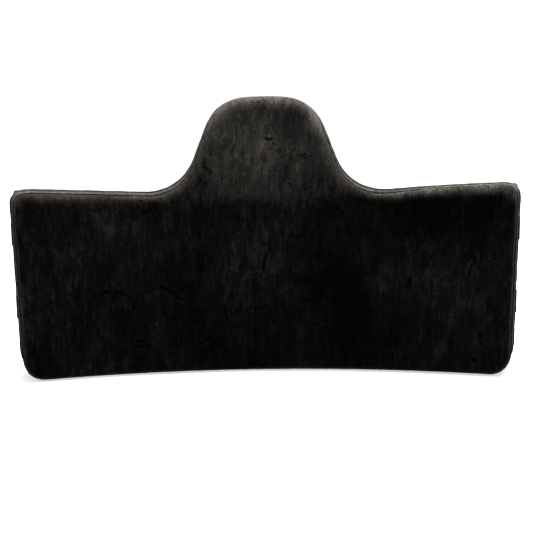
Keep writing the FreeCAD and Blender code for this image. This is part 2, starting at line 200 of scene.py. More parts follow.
def add_cells():
    """Open foam cells: a hole in each, painted dark as painted shade, and walls between them."""
    outputs = [("Wall", "Float"), ("Height", "Float")]
    tree, given, result = group("open_cells", [("Size", "Float", CELL_SIZE)], outputs)
    scale = node(tree, "Math", {0: 1.0, 1: given["Size"]}, operation="DIVIDE").outputs[0]
    inputs = {"Vector": own_place(tree), "Scale": scale}
    cells = node(tree, "TexVoronoi", inputs, feature="DISTANCE_TO_EDGE").outputs["Distance"]
    wall = ranged(tree, cells, 0.0, 0.35, 1.0, 0.0)
    for name in ("Wall", "Height"):
        tree.links.new(wall, result[name])
    return tree


open_cells = add_cells()


def foam(name, hole, wall, cell):
    made, tree, shader = material(name, roughness=0.95, sheen=0.15)
    cells = placed(tree, open_cells, Size=cell)
    # The holes are painted darker than the walls, as painted shade in them.
    coloured(tree, shader, cells["Wall"], hole, wall)
    bumped(tree, shader, cells["Height"], 0.0004)
    return made


def finish_cad(made, slot, *names):
    """CAD nodes that keep their own shape, with a better material."""
    for name in names:
        for held in frame["nodes"][name].material_slots:
            held.material = made
        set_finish(frame["nodes"][name], slot)


memory_foam = foam("memory_foam", (0.5, 0.47, 0.36), (0.8, 0.77, 0.66), CELL_SIZE * 0.6)
finish_cad(memory_foam, "memory_foam", "face_foam")
support_foam = foam("core_foam", (0.1, 0.1, 0.11), (0.25, 0.25, 0.27), CELL_SIZE)
finish_cad(support_foam, "support_foam", "core_foam", "rear_foam")

board, board_tree, board_shader = material("board", roughness=0.5)
board_grain = node(board_tree, "TexNoise", {"Scale": 900.0, "Detail": 3.0}).outputs["Fac"]
coloured(board_tree, board_shader, board_grain, (0.03, 0.03, 0.032), (0.06, 0.06, 0.063))
bumped(board_tree, board_shader, board_grain, 0.0001)
finish_cad(board, "stiffener_board", "stiffener_board")

# ---- The padded form that the cover takes over its filling ----
# Short-pile plush over foam. It is sewn along two seams, which hold it in, and the foam swells it
# everywhere else: a crowned face, rolled edges, and a boxing strip that is full between its seams.

VOXEL = 0.004
FRONT_SEAM = 0.0105
BACK_SEAM = PAD_THICKNESS - 0.0105
SKIN = 0.0012  # how far the form starts under the cover's surface
FOAM_DEPTH = 0.0023  # the filling's own distance below the cover's face


def only(piece):
    """Selects one piece and nothing else."""
    bpy.ops.object.select_all(action="DESELECT")
    piece.select_set(True)
    bpy.context.view_layer.objects.active = piece
    return piece


def edit_all():
    """Opens the active piece in edit mode with all of it selected."""
    bpy.ops.object.mode_set(mode="EDIT")
    bpy.ops.mesh.select_all(action="SELECT")


def edit_done():
    bpy.ops.object.mode_set(mode="OBJECT")


def copied(name, *names):
    """A new piece with the shapes of these CAD nodes, their loose triangles joined up."""
    only(frame["nodes"][names[0]])
    for other in names[1:]:
        frame["nodes"][other].select_set(True)
    bpy.ops.object.duplicate()
    if len(names) > 1:
        bpy.ops.object.join()
    piece = bpy.context.object
    piece.parent = None
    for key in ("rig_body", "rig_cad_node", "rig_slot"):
        if key in piece:
            del piece[key]
    piece.name = piece.data.name = name
    piece.data.materials.clear()
    edit_all()
    bpy.ops.mesh.customdata_custom_splitnormals_clear()
    bpy.ops.mesh.remove_doubles(threshold=2e-6)
    edit_done()
    return piece


def apply(piece, kind, **settings):
    """Adds a modifier with these settings and applies it."""
    only(piece)
    bpy.ops.object.modifier_add(type=kind)
    held = piece.modifiers[-1]
    for name, value in settings.items():
        setattr(held, name, value)
    bpy.ops.object.modifier_apply(modifier=held.name)
    return piece


def ease(value, low, high):
    """0 below low, 1 above high, and a smooth rise between."""
    share = np.clip((value - low) / (high - low), 0, 1)
    return share * share * (3 - 2 * share)


def ripple(points, size, seed):
    """Smooth noise from -1 to 1, with lumps of about this size, at each point."""
    lattice = np.random.default_rng(seed).uniform(-1, 1, (32, 32, 32))
    cell = np.floor(points / size).astype(int)
    part = ease(points / size - cell, 0, 1)
    total = np.zeros(len(points))
    for corner in np.ndindex(2, 2, 2):
        weight = np.where(corner, part, 1 - part).prod(axis=1)
        total += weight * lattice[tuple((cell + corner).T % 32)]
    return total


form = copied("cover_form", "face_foam", "core_foam", "stiffener_board", "rear_foam")
points = laid_flat(read(form))
foam_back = points[:, 1].max()
depth_share = (points[:, 1] - FOAM_DEPTH) / (foam_back - FOAM_DEPTH)
points[:, 1] = SKIN + depth_share * (PAD_THICKNESS - 2 * SKIN)
write(form, points)
form.data.remesh_voxel_size = VOXEL
bpy.ops.object.voxel_remesh()
outward = read(form, "normal")
write(form, read(form) + outward * (FOAM_DEPTH - SKIN) * (abs(outward[:, 1:2]) < 0.9))

start, outward = read(form), read(form, "normal")
from_seam = np.minimum(abs(start[:, 1] - FRONT_SEAM), abs(start[:, 1] - BACK_SEAM))
sewn = (from_seam < VOXEL * 0.55) & (abs(outward[:, 1]) < 0.6)
form.vertex_groups.new(name="seams").add([int(i) for i in np.nonzero(sewn)[0]], 1.0, "REPLACE")

FACE_SWELL = 0.0042  # the most that the foam lets the cover move out
SIDE_SWELL = 0.0016
LEAST_SWELL = 0.25  # the least, as a share of that, because the foam fills the cover
CREEP = 0.0015  # the most that the cover moves along the foam
SWELL_FRAMES = 16
swell = SIDE_SWELL + (FACE_SWELL - SIDE_SWELL) * ease(-outward[:, 1:2], 0.3, 0.9)
cloth = form.modifiers.new("Cloth", "CLOTH").settings
cloth.use_pressure = True
cloth.uniform_pressure_force = 4.0
cloth.effector_weights.gravity = 0.0
cloth.vertex_group_mass = "seams"
cloth.quality = 4
cloth.bending_stiffness = 0.3
for step in range(SWELL_FRAMES):
    bpy.context.scene.frame_set(step + 1)
only(form)
bpy.ops.object.modifier_apply(modifier="Cloth")
bpy.context.scene.frame_set(1)
moved = read(form) - start
moved_out = (moved * outward).sum(axis=1, keepdims=True)
crept = moved - outward * moved_out
crept *= np.minimum(1, CREEP / np.maximum(np.linalg.norm(crept, axis=1, keepdims=True), 1e-9))
least = LEAST_SWELL * swell * ease(abs(outward[:, 1:2]), 0.3, 0.9)
write(form, start + crept + outward * np.clip(moved_out, least, swell))
form.vertex_groups.clear()
apply(form, "SMOOTH", factor=0.5, iterations=2)
apply(form, "SUBSURF", levels=1, render_levels=1)

# ---- Work on the form: full edges, dents, creases, the lie of the pile and painted light and shade ----
# The pad has been packed flat and handled. Creases stay where it was folded, the edges roll over
# the seam on the dome's top and the outer shoulders, and the face's tone is painted in patches of brushed
# pile and painted light and shade.

SEAT_CLEAR = 0.0004  # the lowest that the cover comes to what the pad stands on
# The creases are drawn on a 250 mm sheet whose foot lies 7.5 mm up the pad and whose head lies 3 mm
# higher than drawn: depth and width, then the way that a crease runs, as x, z points, in millimetres.
SHEET_FOOT, SHEET_HEAD, SHEET_HEIGHT = 7.5, 3.0, 250.0
CREASES = [
    (0.9, 1.1, (-3, 257), (5, 256), (11, 258)), (0.7, 1.0, (9, 256), (11, 249)),
    (0.8, 1.0, (25, 250), (32, 252)), (0.5, 1.3, (11, 222), (30, 236), (50, 248)),
    (0.4, 1.3, (14, 218), (36, 236), (58, 244)),
    (0.5, 1.5, (-68, 238), (-64, 226), (-56, 216)), (0.5, 1.6, (-76, 226), (-70, 212), (-62, 205)),
    (0.5, 1.5, (-66, 246), (-60, 240), (-50, 238)), (0.4, 1.5, (-140, 173), (-131, 180), (-122, 185)),
    (0.4, 1.7, (-251, 80), (-236, 86), (-222, 88)), (0.6, 1.2, (-181, 88), (-165, 92), (-146, 82)),
    (0.9, 1.2, (-130, 88), (-118, 94), (-108, 92)), (0.8, 1.2, (-108, 92), (-92, 84), (-77, 86)),
    (0.5, 1.3, (-144, 72), (-152, 62), (-165, 49)), (0.8, 1.1, (-148, 31), (-136, 26), (-122, 30)),
    (0.4, 1.3, (-152, 38), (-137, 34), (-120, 40)), (0.6, 1.3, (-87, 26), (-74, 28), (-62, 34)),
    (0.8, 1.2, (-34, 60), (-28, 76), (-17, 92)), (0.7, 1.2, (-13, 88), (-6, 108), (9, 135)),
    (0.6, 1.2, (-31, 100), (-30, 116), (-25, 131)), (0.6, 1.2, (18, 70), (32, 75), (46, 74)),
    (0.4, 1.3, (22, 145), (34, 148), (46, 147)), (0.5, 1.5, (218, 147), (224, 124), (225, 100)),
    (0.4, 1.5, (229, 150), (234, 130), (234, 108)), (0.7, 1.2, (157, 106), (158, 95), (155, 84)),
    (0.9, 1.6, (261, 54), (260, 44)), (0.9, 1.4, (173, 36), (174, 28)), (0.6, 1.3, (235, 42), (236, 26)),
    (0.5, 1.2, (-40, 88), (-44, 70), (-41, 58)), (0.4, 1.4, (60, 188), (78, 176), (88, 160)),
    (0.5, 1.2, (-20, 70), (-8, 66), (4, 72)), (0.5, 1.2, (-204, 80), (-201, 60), (-203, 42)),
    (0.4, 1.2, (-214, 72), (-211, 54), (-213, 40)), (0.4, 1.2, (-190, 64), (-188, 48), (-190, 38)),
    (0.5, 1.2, (52, 40), (60, 52), (74, 58)), (0.5, 1.3, (-118, 80), (-112, 66), (-100, 60)),
]
sheet_scale = np.array((1, 1 + (SHEET_HEAD - SHEET_FOOT) / SHEET_HEIGHT))
DEEPEST = 0.0009
FACE_CREASES = [(deep / 1000, wide / 1000, (np.array(line) * sheet_scale + (0, SHEET_FOOT)) / 1000)
                for deep, wide, *line in CREASES]


def distance_to(points, line):
    """Each point's distance, across the face, from a line, and the share of the line that it is along."""
    best, along = np.full(len(points), 9.0), np.zeros(len(points))
    for step, (first, last) in enumerate(zip(line, line[1:])):
        run = last - first
        share = np.clip(((points[:, [0, 2]] - first) @ run) / (run @ run), 0, 1)
        gap = np.linalg.norm(points[:, [0, 2]] - first - share[:, None] * run, axis=1)
        along = np.where(gap < best, (step + share) / (len(line) - 1), along)
        best = np.minimum(best, gap)
    return best, along


def wandered(points):
    """Points put off by up to a few millimetres, so that a crease wanders as a real one does."""
    drift = np.stack([ripple(points, 0.022, 1), np.zeros(len(points)), ripple(points, 0.022, 2)], 1) * 0.005
    fine = np.stack([ripple(points, 0.005, 8), np.zeros(len(points)), ripple(points, 0.005, 9)], 1) * 0.0012
    return points + drift + fine


CORNER = Vector((0.2632, 0, 0.2046))  # where the two boxing strips meet, on the slant through a top corner
CORNER_REACH = 0.03  # how far that seam runs from there
ZIP_HEIGHT = 0.030
HEM_WIDTH = 0.0095  # cloth turned under along the zip


def corner_gap(points):
    """How far points are from the slanted seams of the boxing at the two top corners."""
    slant = abs((abs(points[:, 0]) - CORNER.x) - (points[:, 2] - CORNER.z)) / math.sqrt(2)
    reach = np.hypot(abs(points[:, 0]) - CORNER.x, points[:, 2] - CORNER.z)
    return np.where(reach < CORNER_REACH, slant, 9.0)


def pick_faces(piece, chosen):
    """Opens a piece in edit mode with only the chosen faces selected."""
    only(piece)
    bpy.ops.object.mode_set(mode="EDIT")
    bpy.ops.mesh.select_mode(type="FACE")
    bpy.ops.mesh.select_all(action="DESELECT")
    edit_done()
    piece.data.polygons.foreach_set("select", chosen)
    bpy.ops.object.mode_set(mode="EDIT")


# The mesh is made finer along the creases, at the corner seams and round the zip.
for reach in (0.0065, 0.0035):
    centres = np.array([face.center for face in form.data.polygons])
    turned = np.array([face.normal.y for face in form.data.polygons])
    spots = wandered(centres)
    close = np.zeros(len(centres), bool)
    for deep, wide, line in FACE_CREASES:
        close |= distance_to(spots, line)[0] < reach
    close &= turned < -0.5
    close |= (corner_gap(centres) < reach) & (centres[:, 1] > 0.005)
    close |= (turned > 0.5) & (abs(centres[:, 2] - ZIP_HEIGHT) < 2 * reach)
    pick_faces(form, close)
    bpy.ops.mesh.subdivide(number_cuts=1, ngon=False)
    edit_done()

points, normals = read(form), read(form, "normal")
x, depth, z = points.T
on_face = ease(-normals[:, 1], 0.2, 0.9)
on_back = ease(normals[:, 1], 0.2, 0.9)
faces_up = ease(normals[:, 2], 0.0, 0.8)
spots = wandered(points)
# lift is how far the cover is moved out. The tone below runs from dark to pale, from how far the pile is
# lifted and from painted light and shade.
DENT, SMALL_DENT, BACK_FLAT = 0.0008, 0.0004, 0.0008
lift = (ripple(points, 0.09, 3) * DENT + ripple(points, 0.035, 4) * SMALL_DENT) * on_face
lift -= (0.6 + 0.4 * ripple(points, 0.06, 7)) * BACK_FLAT * on_back
nap_and_light = (0.25 * ripple(points, 0.1, 5) + 0.4 * ripple(points * (1, 1, 0.5), 0.03, 6)) * (1 - 0.6 * on_back)
fine_clumps = 0.4 * ripple(points * (1, 1, 0.3), 0.006, 17)
nap_and_light += 0.25 * ripple(points, 0.012, 10) * (1 - 0.5 * on_back) + fine_clumps
# A crease comes and goes along its length.
broken = 0.15 + 0.85 * ease(ripple(points, 0.006, 16), -0.25, 0.45)
for deep, wide, line in FACE_CREASES:
    gap, along = distance_to(spots, line)
    fade = np.sqrt(np.clip(np.sin(np.pi * np.clip(along, 0.03, 0.97)), 0, 1)) * broken
    near = gap / wide
    groove = np.exp(-near ** 2) * on_face * fade
    crease_shade = np.exp(-(near / 2.4) ** 2) * on_face * fade
    shoulder = np.exp(-((near - 2.6) / 1.3) ** 2) * on_face * fade
    lift += (0.25 * shoulder - groove) * deep
    # Each crease is painted darker in and around its groove, as painted shade, and paler on its shoulders,
    # as a painted highlight.
    nap_and_light += (0.7 * shoulder - 1.5 * groove - 1.1 * crease_shade) * (deep / DEEPEST)

# The face's edge is full enough to hide the seam on top of the dome and on the right outer shoulder.
RIM_ROLL = 0.003
SHOULDER_RISE = 0.0013
rim = np.exp(-((depth - 0.006) / 0.0045) ** 2) * faces_up
right_shoulder = ease(x, 0.13, 0.19) * ease(z, 0.19, 0.2) * faces_up
lift += rim * (RIM_ROLL * ease(z, 0.24, 0.285) + RIM_ROLL * right_shoulder) + SHOULDER_RISE * right_shoulder
# Each seam pulls the cover in, a little unevenly. The strip's corner seams stand up, over a small gap.
SEAM_PULL, SEAM_WIDE = 0.0011, 0.0026
CORNER_STAND, CORNER_WIDE = 0.003, 0.0034
wall = 1 - np.maximum(on_face, on_back)
pucker = 0.8 + 0.35 * ripple(points, 0.007, 11)
for seam in (FRONT_SEAM, BACK_SEAM):
    lift -= SEAM_PULL * pucker * wall * np.exp(-((depth - seam) / SEAM_WIDE) ** 2)
strip = ease(depth, 0.012, 0.016) * ease(-depth, -0.045, -0.041)
corner_near = np.exp(-(corner_gap(points) / CORNER_WIDE) ** 2)
lift += CORNER_STAND * strip * corner_near
# The cloth is double where it is turned under beside the zip.
HEM_STEP = 0.0005
from_zip = abs(z - ZIP_HEIGHT) - HEM_WIDTH
beside_zip = ease(-abs(x), -0.212, -0.203) * ease(-from_zip, -0.0045, -0.003)
lift += HEM_STEP * beside_zip * on_back
points += normals * lift[:, None]
points[:, 2] = np.maximum(points[:, 2], SEAT_CLEAR)
write(form, points)

# Patches where the face's tone is painted paler or darker, partly brushed pile and partly painted light and
# shade: x, z and reach in millimetres, and how much.
PATCHES = [
    (0, 150, 75, 0.55), (0, 15, 70, -0.3), (-60, 120, 60, 0.3), (-190, 150, 85, 0.4),
    (-250, 120, 40, 0.3), (205, 60, 55, 0.45), (55, 132, 26, -0.7), (72, 105, 28, -0.9),
    (90, 74, 28, -0.9), (108, 42, 28, -0.8), (215, 172, 26, -0.7), (180, 178, 22, -0.5),
    (150, 110, 40, 0.1), (-20, 55, 60, -0.1), (-150, 100, 30, 0.15), (-222, 60, 30, 0.2),
]
for patch_x, patch_z, reach, amount in PATCHES:
    away = np.hypot(x - patch_x / 1000, z - patch_z / 1000) + 0.006 * ripple(points, 0.02, 12)
    nap_and_light += amount * np.exp(-(away * 1000 / reach) ** 2) * on_face
foot = 0.19 + 0.004 * ripple(points * (1, 0, 1), 0.03, 13)  # the dome is painted paler from its foot on: partly its pile lying up, partly painted light
dome_light_and_lean = ease(z, foot - 0.008, foot + 0.014) + 0.8 * ease(z, 0.2, 0.26)
nap_and_light += dome_light_and_lean * on_face * ease(-abs(x), -0.12, -0.08)
nap_and_light += 0.7 * (1 - on_face) - 0.3


def tree_of(points):
    """A search tree that finds the nearest of these points."""
    tree = kdtree.KDTree(len(points))
    for number, point in enumerate(points):
        tree.insert(point, number)
    tree.balance()
    return tree


# It is painted pale where the face rolls over to the seam, as a painted highlight: most on the dome and on
# the right shoulder.
tree = tree_of(points[(abs(depth - FRONT_SEAM) < 0.003) & (faces_up > 0.3)] * (1, 0, 1))
from_edge = np.full(len(points), 1.0)
for number in np.nonzero((depth < 0.02) & (z > 0.15))[0]:
    from_edge[number] = tree.find((x[number], 0, z[number]))[2]
from_edge += 0.0015 * ripple(points, 0.012, 15)
rim_highlight = ease(-from_edge, -0.0135, 0.001) * ease(z, 0.185, 0.2) * ease(-depth, -0.02, -0.011)
rim_highlight_tone = 2.2 + 0.6 * ease(x, 0.1, 0.14) + 1.5 * ease(z, 0.235, 0.29) + 0.5 * ripple(points, 0.02, 18)
nap_and_light = np.maximum(nap_and_light, rim_highlight * rim_highlight_tone + (1 - rim_highlight) * nap_and_light)
# Painted shade in the gap beside each standing corner seam of the boxing.
nap_and_light -= 4 * corner_near * faces_up * np.exp(-((depth - 0.009) / 0.002) ** 2)
# The boxing strip's upward faces are painted paler, as painted light from above: a little more on the right
# shoulder, less high on the dome.
nap_and_light += (2.2 + 0.3 * right_shoulder - 0.6 * ease(z, 0.24, 0.28)) * faces_up * ease(depth, 0.007, 0.013)
form.data.attributes.new("nap_and_light", "FLOAT", "POINT").data.foreach_set("value", nap_and_light.astype(np.float32))


# ---- Plush ----
# Black short-pile plush. The pile stands 1 to 2 mm, catches light where it leans, clumps a little,
# and shows long faint strokes from brushing. Along the rolled edges it is painted paler, as a painted
# highlight.

def lumps(tree, vector, size, **settings):
    """Noise whose lumps are of about this size."""
    scale = node(tree, "Math", {0: 1.0, 1: size}, operation="DIVIDE").outputs[0]
    return node(tree, "TexNoise", {"Vector": vector, "Scale": scale, **settings}).outputs["Fac"]


def plus(tree, first, weight, rest):
    """One value by its weight, and the rest."""
    return node(tree, "Math", {0: first, 1: weight, 2: rest}, operation="MULTIPLY_ADD").outputs[0]


def times(tree, first, second):
    return node(tree, "Math", {0: first, 1: second}, operation="MULTIPLY").outputs[0]


def add_pile():
    """Tone, height and roughness of a short pile: its grain, clumps, brushed strokes and fine creases."""
    tree, given, result = group(
        "short_pile",
        [("Grain", "Float", 0.0011), ("Clump", "Float", 0.0032), ("Creased", "Float", 1.0)],
        [("Tone", "Float"), ("Height", "Float"), ("Roughness", "Float")],
    )
    place = own_place(tree)
    upright = node(tree, "Mapping", {"Vector": place, "Scale": (1.0, 1.0, 0.25)}).outputs["Vector"]
    leaning = node(tree, "Mapping", {"Vector": place, "Scale": (1.0, 1.0, 0.45)}).outputs["Vector"]
    elsewhere = node(tree, "Mapping", {"Vector": place, "Location": (3.0, 1.0, 2.0)}).outputs["Vector"]
    grain = lumps(tree, place, given["Grain"], Detail=1.0)
    clumps = lumps(tree, place, given["Clump"], Detail=3.0, Roughness=0.6)
    strokes = lumps(tree, upright, 0.0036, Detail=3.0, Roughness=0.6, Distortion=0.6)
    field = lumps(tree, leaning, 0.022, Detail=4.0, Roughness=0.6, Distortion=1.0)
    away = node(tree, "Math", {0: plus(tree, field, 1.0, -0.5)}, operation="ABSOLUTE").outputs[0]
    line = ranged(tree, away, 0.0, 0.009, 1.0, 0.0)
    some = ranged(tree, lumps(tree, elsewhere, 0.02, Detail=2.0), 0.52, 0.6)
    marks = times(tree, times(tree, line, some), given["Creased"])
    tone = plus(tree, grain, 1.6, plus(tree, clumps, 1.0, plus(tree, strokes, 2.6, -2.6)))
    # Fine creases are painted darker in the tone, as painted shade, as well as dented in the height.
    tree.links.new(plus(tree, marks, -1.3, tone), result["Tone"])
    tree.links.new(plus(tree, marks, -1.2, plus(tree, clumps, 1.5, grain)), result["Height"])
    tree.links.new(ranged(tree, strokes, 0.3, 0.7, 0.8, 1.0), result["Roughness"])
    return tree


short_pile = add_pile()


def plush(name, tones, sheen, pile_height=0.0006, creased=1.0):
    """Black pile whose tone runs from dark, through plain, to pale: from the lie of its pile and from
    painted light and shade.
    """
    tint = (0.85, 0.81, 0.78)
    made, tree, shader = material(name, sheen=sheen, sheen_roughness=0.3, sheen_tint=tint, specular=0.0)
    pile = placed(tree, short_pile, Creased=creased)
    lean = node(tree, "Attribute", attribute_name="nap_and_light").outputs["Fac"]
    share = ranged(tree, plus(tree, pile["Tone"], 1.0, lean), -1.0, 3.4)
    ramp = node(tree, "ValToRGB", {"Fac": share})
    for place, tone in zip((0.27, 0.54, 0.82), tones[1:]):
        ramp.color_ramp.elements.new(place).color = (*tone, 1)
    ramp.color_ramp.elements[0].color = (*tones[0], 1)
    ramp.color_ramp.elements[-1].color = (*tones[-1], 1)
    tree.links.new(ramp.outputs["Color"], shader.inputs["Base Color"])
    tree.links.new(pile["Roughness"], shader.inputs["Roughness"])
    bumped(tree, shader, pile["Height"], pile_height, 0.7)
    return made


def greys(*tones):
    """Warm blacks and greys."""
    return [(tone, tone * 0.92, tone * 0.82) for tone in tones]


cover_plush = plush("cover_plush", greys(0.0007, 0.0029, 0.012, 0.036, 0.1), 0.1)
# The piping's plush runs to paler tones than the cover's, which carry the painted highlight on the cords.
piping_plush = plush("piping_plush", greys(0.003, 0.01, 0.024, 0.1, 0.22), 0.15, 0.0003, 0.0)

# ---- Cover: front panel, boxing strips and back panels ----
# Each panel is cut from the form along its seams and given the cloth's thickness. Its cut edges lie
# against its neighbour's, under the piping.

CLOTH = 0.0016
ZIP_SLOT = 0.0047  # half the width of the opening that shows the zip
ZIP_SLOT_END = math.radians(13) * FACE_RADIUS


def cut(piece, place, normal, inner=False, outer=False, picked=lambda centre: True):
    """Cuts a piece along a plane and drops what is behind it (inner) or in front of it (outer)."""
    pick_faces(piece, [picked(face.center) for face in piece.data.polygons])
    bpy.ops.mesh.bisect(plane_co=place, plane_no=normal, clear_inner=inner, clear_outer=outer)
    edit_done()


def panel_of(name, source=form):
    """A copy of the form, or of a part of it, to be cut to a panel."""
    only(source)
    bpy.ops.object.duplicate()
    piece = bpy.context.object
    piece.name = piece.data.name = name
    return piece


def sew(piece, *nodes, fill=0.8):
    """Gives a flat-laid panel its thickness and its curve, and puts it on the pad."""
    apply(piece, "SOLIDIFY", thickness=CLOTH, offset=-1, use_rim=True)
    write(piece, bent_round(read(piece)))
    piece.data.materials.append(cover_plush)
    only(piece)
    bpy.ops.object.shade_smooth_by_angle(angle=math.radians(50))
    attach(piece, "root")
    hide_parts(*nodes)
    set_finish(piece, "plush_cover")


front = panel_of("cover_front_panel")
cut(front, (0, FRONT_SEAM, 0), (0, 1, 0), outer=True)

boxing = panel_of("cover_boxing_side_strip")
cut(boxing, (0, FRONT_SEAM, 0), (0, 1, 0), inner=True)
cut(boxing, (0, BACK_SEAM, 0), (0, 1, 0), outer=True)
top = panel_of("cover_boxing_top_strip", boxing)
cut(top, (0, 0, CORNER.z / 2), (0, 0, 1), inner=True)
for side in (-1, 1):
    corner = Vector((side * CORNER.x, 0, CORNER.z))
    cut(top, corner, (-side, 0, 1), inner=True)
    cut(boxing, corner, (-side, 0, 1), outer=True, picked=lambda c: c.z > CORNER.z / 2 and c.x * side > 0)

back = panel_of("cover_back_panel")
cut(back, (0, BACK_SEAM, 0), (0, 1, 0), inner=True)

# ---- Piping: front welt and back welt ----
# A 3 mm cord in a bias strip of the same plush, sewn in between a panel and the boxing. It shows as
# a slim ridge in each seam.

WELT_RADIUS = 0.00145
WELT_OUT = 0.0007  # how far the cord's middle lies out from the drawn-in seam
CORD_STEP = 0.0013  # the closest that points come along a cord
CORD_UNEVEN = 0.00018


def finished(piece, name, made, slot, body, *nodes, smooth=40):
    """Names a piece, and gives it its material, its place in the frame and the nodes that it stands for."""
    piece.name = piece.data.name = name
    piece.data.materials.clear()
    piece.data.materials.append(made)
    only(piece)
    bpy.ops.object.shade_smooth_by_angle(angle=math.radians(smooth))
    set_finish(piece, slot)
    if body:
        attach(piece, body)
    if nodes:
        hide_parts(*nodes)
    return piece


def piped(name, panel, cad_node):
    """A cord along the open edge of a flat-laid panel."""
    tree, outward = tree_of(read(panel)), read(panel, "normal")
    only(panel)
    bpy.ops.object.mode_set(mode="EDIT")
    bpy.ops.mesh.select_mode(type="EDGE")
    bpy.ops.mesh.select_all(action="DESELECT")
    bpy.ops.mesh.select_non_manifold()
    bpy.ops.mesh.duplicate()
    bpy.ops.mesh.separate(type="SELECTED")
    edit_done()
    cord = next(piece for piece in bpy.context.selected_objects if piece is not panel)
    points = read(cord)
    points += [outward[tree.find(point)[1]] * WELT_OUT for point in points]
    points[:, 2] = np.maximum(points[:, 2], WELT_RADIUS + SEAT_CLEAR)
    write(cord, points)
    only(cord)
    edit_all()
    bpy.ops.mesh.remove_doubles(threshold=CORD_STEP)
    bpy.ops.mesh.vertices_smooth(factor=0.5, repeat=3)
    edit_done()
    bpy.ops.object.convert(target="CURVE")
    cord.data.bevel_depth = WELT_RADIUS
    cord.data.bevel_resolution = 2
    bpy.ops.object.convert(target="MESH")
    edit_all()
    bpy.ops.mesh.normals_make_consistent(inside=False)
    edit_done()
    points = read(cord)
    points += read(cord, "normal") * CORD_UNEVEN * ripple(points, 0.005, 14)[:, None]
    points[:, 2] = np.maximum(points[:, 2], SEAT_CLEAR)
    # Cords high on the pad are painted paler, most on their upper side, as a painted highlight.
    up = (0.4 + 0.6 * np.clip(read(cord, "normal")[:, 2], 0, 1)) * ease(points[:, 2], 0.185, 0.21)
    lean = 3.2 * up + 0.3 * ripple(points, 0.004, 19)
    cord.data.attributes.new("nap_and_light", "FLOAT", "POINT").data.foreach_set("value", lean.astype(np.float32))
    write(cord, bent_round(points))
    finished(cord, name, piping_plush, "piping", "root", cad_node)


piped("front_piping", front, "front_welt")
piped("back_piping", back, "back_welt")

sew(front, "front_panel")
sew(boxing, "boxing_side_strip")
sew(top, "boxing_top_strip")

# ---- Back of the cover: upper and lower panels, and their topstitching ----
# Two pieces of the plush, sewn together at the ends and turned under along the zip between them.
# Each turned edge is held by two rows of lockstitch in a slightly paler thread.

thread, thread_tree, thread_shader = material("thread", roughness=0.6, sheen=0.2, specular=0.3)
twists = {"Vector": own_place(thread_tree), "Scale": 900.0, "Distortion": 2.0}
twist = node(thread_tree, "TexWave", twists).outputs["Fac"]
coloured(thread_tree, thread_shader, twist, (0.015, 0.015, 0.015), (0.06, 0.058, 0.056))
bumped(thread_tree, thread_shader, twist, 0.00005)

STITCH = 0.0033
STITCH_ROWS = 0.0018, 0.0066  # how far the two rows lie from the turned edge


def stitch_row(start, end, pitch=STITCH, thickness=0.0003):
    """Stitches in line from start to end, which are x, z points on a flat surface at y 0."""
    run = np.array(end) - np.array(start)
    length = np.linalg.norm(run)
    bpy.ops.mesh.primitive_uv_sphere_add(segments=6, ring_count=4, radius=1)
    row = bpy.context.object
    write(row, read(row)[:, [2, 0, 1]] * (pitch * 0.4, thickness, thickness) + (pitch / 2, 0, 0))
    apply(row, "ARRAY", count=int(length / pitch), use_relative_offset=False, use_constant_offset=True,
          constant_offset_displace=(pitch, 0, 0))
    points = read(row)
    x, z = points[:, 0] / length, points[:, 2] / length
    points[:, 0] = start[0] + run[0] * x - run[1] * z
    points[:, 2] = start[1] + run[1] * x + run[0] * z
    write(row, points)
    return row


def joined(rows):
    only(rows[0])
    for row in rows[1:]:
        row.select_set(True)
    bpy.ops.object.join()
    return bpy.context.object


def laid_on(points, surface):
    """Points lifted by the depth of the surface that each of them lies over."""
    tree = tree_of(surface * (1, 0, 1))
    for point in points:
        near = tree.find_n((point[0], 0, point[2]), 3)
        point[1] += sum(surface[number][1] for _, number, _ in near) / 3
    return points


hem_end = ZIP_SLOT_END + 0.006
for name, up in (("upper", 1), ("lower", -1)):
    half = panel_of("cover_back_panel_" + name, back)
    cut(half, (0, 0, ZIP_HEIGHT), (0, 0, up), inner=True)
    for end in (-1, 1):
        cut(half, (end * ZIP_SLOT_END, 0, 0), (1, 0, 0))
    cut(half, (0, 0, ZIP_HEIGHT + up * ZIP_SLOT), (0, 0, up), inner=True,
        picked=lambda c: abs(c.x) < ZIP_SLOT_END and abs(c.z - ZIP_HEIGHT) < 2 * ZIP_SLOT)
    heights = [ZIP_HEIGHT + up * (ZIP_SLOT + away) for away in STITCH_ROWS]
    rows = [stitch_row((-hem_end, row), (hem_end, row)) for row in heights]
    rows += [stitch_row((end * hem_end, ZIP_HEIGHT), (end * hem_end, heights[1])) for end in (-1, 1)]
    hem_stitches = joined(rows)
    write(hem_stitches, bent_round(laid_on(read(hem_stitches), read(back)) + (0, 0.00005, 0)))
    finished(hem_stitches, "hem_stitches_" + name, thread, "plush_cover", "root")
    sew(half, "back_panel_" + name)
bpy.data.objects.remove(back)
bpy.data.objects.remove(form)

# ---- Zip: tapes, coils, stops, slider and pull ----
# A nylon coil zip on woven tapes, sewn in behind the two turned edges. The slider, its pull and the
# stops are cast zinc with a black enamel that is rubbed off in spots.

TOOTH_PITCH = 0.00135 * FACE_RADIUS / BACK_RADIUS
TOOTH_INNER, TOOTH_OUTER = 0.0003, 0.003  # from the middle of the zip
TOOTH_DEPTH = 0.00095
STOP_LENGTH = 0.003

